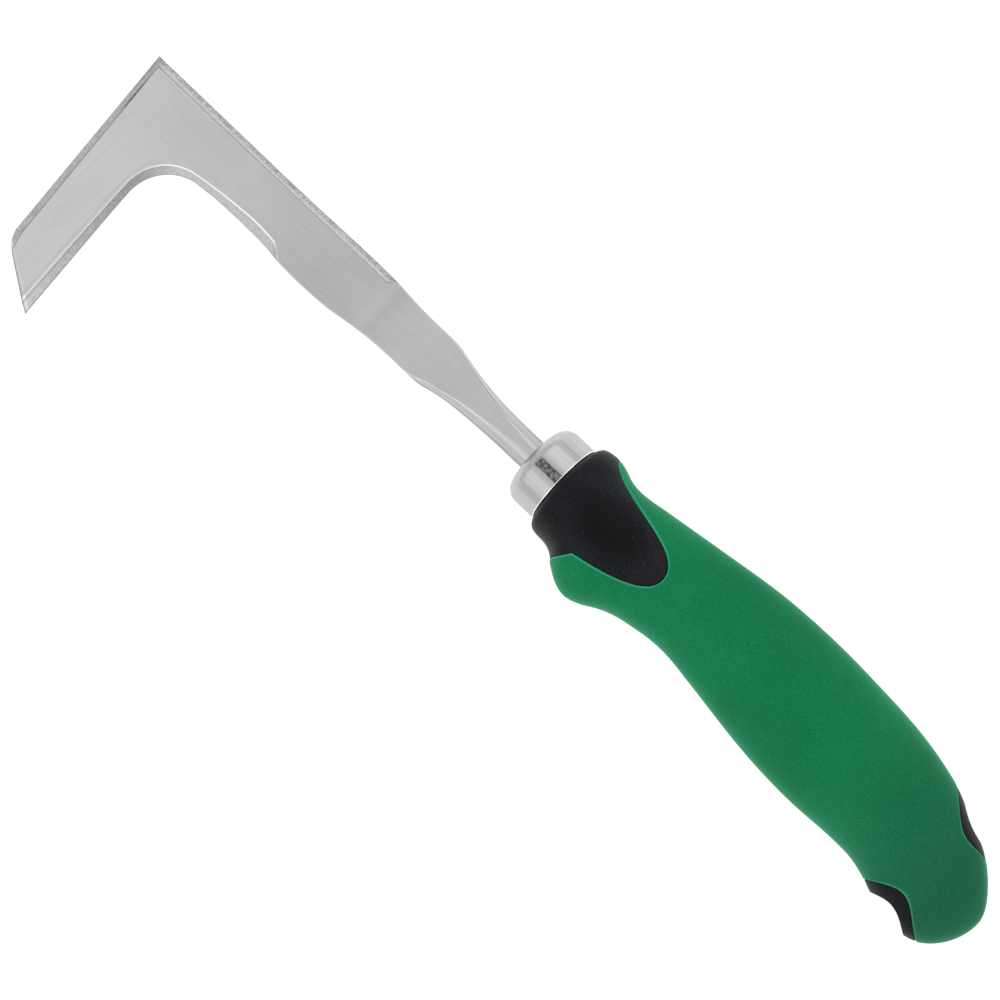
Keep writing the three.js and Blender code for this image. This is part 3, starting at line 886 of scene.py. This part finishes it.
def ferrule_tree():
    """A cup pressed from sheet: an outline with filleted corners, turned about the shank's axis."""
    inputs = [(name, "Float", value) for name, value in CUP_SIZES.items()]
    inputs.append(("Material", "Material", None))
    tree, given, result = node_group("Pressed cup", "GeometryNodeTree", inputs, [("Geometry", "Geometry")])
    radius, length, wall, shoulder, hole = (given[name] for name in CUP_SIZES)
    inner, back = radius - wall, length - wall
    corners = [(radius, 0.0), (radius, length), (hole, length), (hole, back), (inner, back), (inner, 0.0)]
    rounding = wall * CUP_LIP
    fillets = [rounding, shoulder, rounding, rounding, shoulder - wall, rounding]

    corners = [made(tree, "ShaderNodeCombineXYZ", dict(enumerate(corner))) for corner in corners]
    places = switch_by_number(tree, "VECTOR", corners)
    line = made(tree, "GeometryNodeMeshLine", {"Count": len(corners)})
    curve = made(tree, "GeometryNodeMeshToCurve", {"Mesh": line})
    closed = made(tree, "GeometryNodeSetSplineCyclic", {"Geometry": curve, "Cyclic": True})
    placed = made(tree, "GeometryNodeSetPosition", {"Geometry": closed, "Position": places})
    radii = switch_by_number(tree, "FLOAT", fillets)
    rounded = {"Curve": placed, "Radius": radii, "Count": FILLET_POINTS}
    filleted = made(tree, "GeometryNodeFilletCurve", rounded, mode="POLY")
    turned = turn_about_x(tree, made(tree, "GeometryNodeCurveToMesh", {"Curve": filleted}))
    smoothed = made(tree, "GeometryNodeSetShadeSmooth", {"Geometry": turned})
    realized = made(tree, "GeometryNodeRealizeInstances", {"Geometry": smoothed})
    finished = made(tree, "GeometryNodeSetMaterial", {"Geometry": realized, "Material": given["Material"]})
    set_inputs(tree, result, {"Geometry": finished})
    return tree


def switch_by_number(tree, data_type, values):
    """The value for each point's number."""
    node = add_node(tree, "GeometryNodeIndexSwitch", data_type=data_type)
    while len(node.index_switch_items) < len(values):
        node.index_switch_items.new()
    set_inputs(tree, node, {"Index": made(tree, "GeometryNodeInputIndex")} | dict(enumerate(values, 1)))
    return Value(node.outputs[0])


def turn_about_x(tree, outline):
    """Copies an outline (radius, along, 0) round the X axis and skins between the copies."""
    count = made(tree, "GeometryNodeAttributeDomainSize", {"Geometry": outline})
    points_round = count + 1
    grid = made(tree, "GeometryNodeMeshGrid", {"Vertices X": CUP_COPIES + 1, "Vertices Y": points_round})
    index = made(tree, "GeometryNodeInputIndex")
    row = integer_math(tree, "DIVIDE_FLOOR", index, points_round)
    column = integer_math(tree, "MODULO", integer_math(tree, "MODULO", index, points_round), count)
    wanted = {"Geometry": outline, "Value": made(tree, "GeometryNodeInputPosition"), "Index": column}
    sampled = made(tree, "GeometryNodeSampleIndex", wanted, data_type="FLOAT_VECTOR", domain="POINT")
    parts = outputs_of(add_node(tree, "ShaderNodeSeparateXYZ", {0: sampled}))
    angle = row * (2 * math.pi / CUP_COPIES)
    y, z = (parts["X"] * angle.math(wave, angle) for wave in ("COSINE", "SINE"))
    place = made(tree, "ShaderNodeCombineXYZ", {"X": parts["Y"], "Y": y, "Z": z})
    moved = made(tree, "GeometryNodeSetPosition", {"Geometry": grid, "Position": place})
    return made(tree, "GeometryNodeMergeByDistance", {"Geometry": moved, "Distance": 1e-6})


def integer_math(tree, operation, a, b):
    return made(tree, "FunctionNodeIntegerMath", {0: a, 1: b}, operation=operation)


def ferrule(material):
    """Runs the pressed-cup tree once and keeps its mesh."""
    tree = ferrule_tree()
    host = in_scene("cup_host", bpy.data.meshes.new("cup_host"))
    modifier = host.modifiers.new("Pressed cup", "NODES")
    modifier.node_group = tree
    given = {"Radius": (FERRULE_HIGH.z - FERRULE_LOW.z) / 2, "Length": FERRULE_HIGH.x - FERRULE_LOW.x}
    given["Material"] = material
    for item in tree.interface.items_tree:
        if item.in_out == "INPUT" and item.name in given:
            modifier[item.identifier] = given[item.name]
    bpy.context.view_layer.update()
    evaluated = host.evaluated_get(bpy.context.evaluated_depsgraph_get())
    mesh = bpy.data.meshes.new_from_object(evaluated)
    bpy.data.objects.remove(host)
    mesh.name = "ferrule_pressed"
    work = bmesh.new()
    work.from_mesh(mesh)
    bmesh.ops.translate(work, verts=work.verts, vec=JOINT)
    bmesh.ops.recalc_face_normals(work, faces=work.faces)
    work.to_mesh(mesh)
    work.free()
    settle(mesh, "ferrule")


# ---- Finishes ----

BLACK = (0, 0, 0, 1)


class Finish:
    """A material being built round one shader: short calls that add and link its nodes."""

    def __init__(self, name):
        self.material = bpy.data.materials.new(name)
        self.material.use_nodes = True
        self.tree = self.material.node_tree
        self.tree.nodes.clear()
        self.shader = self.tree.nodes.new("ShaderNodeBsdfPrincipled")
        output = self.tree.nodes.new("ShaderNodeOutputMaterial")
        self.tree.links.new(self.shader.outputs["BSDF"], output.inputs["Surface"])
        self.place = outputs_of(add_node(self.tree, "ShaderNodeTexCoord"))["Object"]

    def group(self, tree, **inputs):
        """The outputs of an effect laid over the piece."""
        inputs["Vector"] = self.place
        return outputs_of(add_node(self.tree, "ShaderNodeGroup", inputs, node_tree=tree))

    def attribute(self, name):
        return outputs_of(add_node(self.tree, "ShaderNodeAttribute", attribute_name=name))["Fac"]

    def set(self, **inputs):
        set_inputs(self.tree, self.shader, {k.replace("_", " "): v for k, v in inputs.items()})

    def grained(self, height, strength, distance):
        """Puts a fine relief on the surface."""
        inputs = {"Strength": strength, "Distance": distance, "Height": height}
        self.set(Normal=made(self.tree, "ShaderNodeBump", inputs))


def brushed_group():
    """Brush lines: fine, uneven streaks that run along X, or along Y where Turn is 1."""
    tree, given, result = node_group(
        "Brushed grain", "ShaderNodeTree",
        [("Vector", "Vector", None), ("Turn", "Float", 0.0), ("Fineness", "Float", 1.0)],
        [("Streaks", "Float"), ("Cloud", "Float"), ("Slow", "Float")])
    place = given["Vector"]
    lines = []
    for scale in ((60, 2600, 2600), (2600, 60, 2600)):
        drawn_out = made(tree, "ShaderNodeMapping", {"Vector": place, "Scale": scale})
        lines.append(noise_in(drawn_out, given["Fineness"], 4.0, 0.65))
    set_inputs(tree, result, {
        "Streaks": mix(given["Turn"], *lines), "Cloud": noise_in(place, 600.0, 4.0, 0.7),
        "Slow": noise_in(place, 28.0, 2.0)})
    return tree


def speckle_group():
    """Moulded skin: an even fine grain, scattered tiny light specks and a slow unevenness of tone."""
    tree, given, result = node_group(
        "Moulded speckle", "ShaderNodeTree",
        [("Vector", "Vector", None), ("Share", "Float", 0.15)],
        [("Grain", "Float"), ("Specks", "Float"), ("Tone", "Float")])
    place = given["Vector"]
    cells = outputs_of(add_node(tree, "ShaderNodeTexVoronoi", {"Vector": place, "Scale": 1300.0}))
    pick = made(tree, "ShaderNodeSeparateColor", {0: cells["Color"]})
    chosen = pick.math("LESS_THAN", pick, given["Share"])
    specks = cells["Distance"].rise(0.24, 0.1) * chosen
    grain = noise_in(place, 2500.0, 2.0, 0.6)
    set_inputs(tree, result, {"Grain": grain, "Specks": specks, "Tone": noise_in(place, 45.0)})
    return tree


BRUSHED = brushed_group()
SPECKLE = speckle_group()


def blade_steel():
    """Satin stainless: fine grain along the flats, coarser grinding across the bevels, creased edges;
    painted highlights and painted shade lines along the creases and edges.
    """
    steel = Finish("satin_blade_steel")
    ground, bevel, rounded, outer, claw, tip, corner, inside, bend, flat_brightness, forged = (
        steel.attribute(key) for key in BLADE_MARKS)
    inner = 1 - outer
    grain = steel.group(BRUSHED, Turn=ground + claw - ground * claw * 2)
    streaks, cloud, slow = (grain[key] - 0.5 for key in ("Streaks", "Cloud", "Slow"))
    mottle = noise_in(steel.place, 1500.0, 3.0, 0.7) - 0.5

    # Flat tone: painted brightness along the blade, brush grain, and the bend's painted shade and
    # highlight.
    flat_tone = mix(flat_brightness, 0.455, 0.63) + slow * 0.15 + streaks * 0.16 + bend * 0.025
    # A painted shade line on the claw's flat, a little inside the inner crease.
    flat_tone -= inside.band(0.55, 0.66, 0.76, 0.88) * claw * 0.14
    # Along the neck's creases: a painted highlight on the claw side and painted shade on the spine side.
    neck_crease_light_and_shade = rounded.band(0.01, 0.07, 0.12, 0.22) * forged
    flat_tone = flat_tone + neck_crease_light_and_shade * inner * 0.1 - neck_crease_light_and_shade * outer * 0.32
    # Rounded sides: painted shade deepening towards the edge, darkest at the edge.
    flat_tone = flat_tone - rounded ** 1.5 * 0.06 - rounded.rise(0.75, 0.97) * 0.2

    spine_tone = mix(bevel.rise(0.4, 0.62), 0.45, cloud * 0.55 + 0.35 + mottle * 0.55)
    outer_tone = mix(claw, spine_tone, cloud * 0.4 + 0.47)
    inner_tone = mix(claw.rise(0.0, 0.7), 0.42, mix(tip, 0.36, 0.6))
    bevel_tone = mix(outer, inner_tone, outer_tone) + streaks * 0.55

    tone = mix(bevel.rise(0.0, 0.03), flat_tone, bevel_tone)
    # Along the ground creases: a painted highlight on the inner side, a painted shade line on the spine and
    # the claw's leading side.
    crease = bevel.band(0.005, 0.05, 0.12, 0.2) * ground
    tone = mix(crease * inner, tone, 0.78)
    tone = mix(crease * outer * 0.8, tone, 0.24)
    # A painted shade line on the claw's inner bevel, beside the crease.
    tone = mix(bevel.band(0.15, 0.24, 0.3, 0.42) * inner * claw * 0.4, tone, 0.25)
    # Painted shade on the ground edge's narrow land.
    tone = mix(bevel.rise(0.9, 0.99) * 0.7, tone, 0.27)
    nick = corner * outer * bevel.band(0.0, 0.03, 0.25, 0.35) * grain["Cloud"].rise(0.42, 0.5)
    tone = mix(nick * 0.9, tone, 0.08)

    colour = mix_colour(tone, BLACK, (1.0, 0.996, 0.988, 1))
    steel.set(Base_Color=colour, Roughness=mix(ground, 0.37, 0.33) + streaks * 0.25, Metallic=1.0)
    steel.grained(grain["Streaks"], 0.1, 0.0002)
    return steel.material


def ferrule_steel():
    """Polished stainless with fine lengthwise draw lines, a dark streak of painted reflection on each broad
    side, painted shade towards the sides and a painted highlight along the rear edge.
    """
    steel = Finish("drawn_ferrule_steel")
    grain = steel.group(BRUSHED, Fineness=0.6)
    streaks = grain["Streaks"] - 0.5
    mottle = noise_in(steel.place, 1700.0, 3.0, 0.7) - 0.5
    at = outputs_of(add_node(steel.tree, "ShaderNodeSeparateXYZ", {0: steel.place}))
    along = at["X"] - JOINT.x
    across = at["Y"] - JOINT.y + streaks * 0.0016
    height = abs(at["Z"] - JOINT.z)
    tone = streaks * 0.26 + 0.455 + (grain["Slow"] - 0.5) * 0.15
    # Painted shade towards the sides of the cup that face the finger and thumb edges.
    tone = mix(height.rise(0.0045, 0.0005) * 0.55, tone, 0.2)
    # A dark streak on each broad side: painted reflection, mottled.
    dark_reflection_streak = across.band(-0.0013, -0.0011, 0.0015, 0.0017) * along.band(-0.001, 0.0, 0.0074, 0.0085)
    tone = mix(dark_reflection_streak * 0.92, tone, (mottle * 1.1 + 0.12).at_least(0.03))
    # A painted highlight along the rear edge.
    tone = mix(along.rise(0.00055, 0.0003), tone, 0.9)
    colour = mix_colour(tone, BLACK, (1.0, 0.998, 0.992, 1))
    steel.set(Base_Color=colour, Roughness=mix(grain["Streaks"], 0.2, 0.34), Metallic=1.0)
    steel.grained(grain["Streaks"], 0.15, 0.0002)
    return steel.material


def pin_steel():
    """Plain drawn wire of the tang pin."""
    steel = Finish("pin_wire_steel")
    grain = steel.group(BRUSHED, Turn=1.0, Fineness=0.8)
    colour = mix_colour(grain["Cloud"], (0.4, 0.4, 0.39, 1), (0.6, 0.6, 0.59, 1))
    steel.set(Base_Color=colour, Roughness=mix(grain["Streaks"], 0.3, 0.45), Metallic=1.0)
    return steel.material


def moulded(name, tones, speck, roughness, grit, rim, shade=None):
    """A moulded skin between two tones, with specks, a fine grain, an edge line of painted light and shade,
    and a part darkened by painted shade.
    """
    painted_edge_colour, painted_edge_share = rim
    skin = Finish(name)
    marks = skin.group(SPECKLE)
    colour = mix_colour(marks["Tone"].rise(0.32, 0.68), *tones)
    # Painted shade over a marked part: the grip's tail end, the collar's dish.
    if shade:
        part, part_tone = shade
        colour = mix_colour(skin.attribute(part), colour, part_tone)
    grain = (marks["Grain"] - 0.5) * grit + 1.0
    colour = scaled_colour(colour, grain.at_least(0.1))
    colour = mix_colour(marks["Specks"] * 0.5, colour, speck)
    # Painted edge line: a painted highlight on the green's lip, painted shade on the black's edge at the
    # joint.
    colour = mix_colour(skin.attribute("rim") * painted_edge_share, colour, painted_edge_colour)
    rough = mix(marks["Grain"], roughness - 0.08, roughness + 0.08)
    skin.set(Base_Color=colour, Roughness=rough, Specular_IOR_Level=0.12)
    skin.grained(marks["Grain"], 0.3, 0.0001)
    return skin


def grip_green():
    # Green: a painted highlight along its lips and painted shade towards the tail's end.
    skin = moulded(
        "soft_grip_green", ((0.001, 0.152, 0.053, 1), (0.003, 0.184, 0.067, 1)), (0.03, 0.28, 0.14, 1),
        0.62, 1.2, ((0.045, 0.46, 0.25, 1), 0.85), ("tail", (0.006, 0.105, 0.044, 1)))
    skin.set(Sheen_Weight=0.32, Sheen_Roughness=0.4, Sheen_Tint=(0.12, 1.0, 0.55, 1))
    return skin.material


def collar_black():
    # Black: painted shade along the joint below the green and in the dish.
    return moulded(
        "satin_collar_black", ((0.003, 0.0036, 0.0052, 1), (0.012, 0.0128, 0.0168, 1)),
        (0.08, 0.085, 0.095, 1), 0.46, 4.0, ((0.001, 0.001, 0.0015, 1), 0.9),
        ("dish", (0.001, 0.0016, 0.0024, 1))).material


def liner_black():
    return moulded(
        "satin_liner_black", ((0.001, 0.0015, 0.0024, 1), (0.0055, 0.006, 0.0075, 1)),
        (0.07, 0.075, 0.08, 1), 0.48, 3.0, ((0.002, 0.002, 0.003, 1), 0.3)).material


def core_black():
    return moulded(
        "plain_core_black", ((0.004, 0.004, 0.0045, 1), (0.009, 0.009, 0.01, 1)),
        (0.03, 0.03, 0.03, 1), 0.55, 1.2, ((0.004, 0.004, 0.004, 1), 0.0)).material


# ---- Studio ----

FLOOR_GAP = 0.0002  # m, so that the floor and the lowest faces never share a plane


def floor_board():
    """A wide pale floor that the tool lies on."""
    size = 4.0
    mesh = bpy.data.meshes.new("floor")
    corners = [(-size, -size, 0), (size, -size, 0), (size, size, 0), (-size, size, 0)]
    mesh.from_pydata(corners, [], [(0, 1, 2, 3)])
    paper = Finish("pale_floor")
    colour = mix_colour(noise_in(paper.place, 3.0), (0.38, 0.38, 0.38, 1), (0.4, 0.4, 0.4, 1))
    paper.set(Base_Color=colour, Roughness=0.9, Specular_IOR_Level=0.0)
    paper.set(Emission_Color=(1.0, 1.0, 1.0, 1), Emission_Strength=0.84)
    mesh.materials.append(paper.material)
    floor = in_scene("floor", mesh)
    floor.location.z = CAD_LOW.z - FLOOR_GAP


def soft_box(name, place, power):
    """A long lamp that faces the middle of the tool."""
    light = bpy.data.lights.new(name, "AREA")
    light.shape = "RECTANGLE"
    light.size, light.size_y = 2.0, 0.8
    light.energy = power
    box = in_scene(name, light)
    box.location = place
    box.rotation_euler = (-Vector(place)).to_track_quat("-Z", "Y").to_euler()


def studio():
    """An even pale surround and two long soft boxes, one to each side of the tool."""
    world = bpy.data.worlds.new("studio")
    world.use_nodes = True
    surround = world.node_tree.nodes["Background"]
    set_inputs(world.node_tree, surround, {"Color": (1, 1, 1, 1), "Strength": 0.92})
    bpy.context.scene.world = world
    soft_box("finger_side_box", (0, 0.9, 0.9), 2.4)
    soft_box("thumb_side_box", (0, -0.9, 0.9), 2.2)


def camera():
    """Looks down on the lying tool, a little from its tail end, with the shank running up to the left."""
    azimuth, elevation, roll = (math.radians(a) for a in (268.1, 81.0, 315.5))
    distance = 1.05
    aim = Vector((9.72, -9.13, 1.59)) * MM
    level_share = math.cos(elevation)
    back = Vector((math.sin(azimuth) * level_share, -math.cos(azimuth) * level_share, math.sin(elevation)))
    level = Vector((0, 0, 1)).cross(back).normalized()
    upward = back.cross(level)
    right = math.cos(roll) * level + math.sin(roll) * upward
    up = -math.sin(roll) * level + math.cos(roll) * upward
    data = bpy.data.cameras.new("camera")
    data.lens = 141.7
    data.clip_start, data.clip_end = 0.05, 20
    viewer = in_scene("camera", data)
    turned = Matrix((right, up, back)).transposed().to_4x4()
    viewer.matrix_world = Matrix.Translation(aim + back * distance) @ turned
    bpy.context.scene.camera = viewer
    bpy.context.scene.view_settings.view_transform = "Standard"


# ---- Build ----

blade(blade_steel())
ferrule(ferrule_steel())
front_collar(collar_black())
grip_sleeve(grip_green())
hang_hole_liner(liner_black())
for node, finish in (("handle_core", core_black()), ("tang_pin", pin_steel())):
    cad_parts[node].data.materials.clear()
    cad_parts[node].data.materials.append(finish)

floor_board()
studio()
camera()
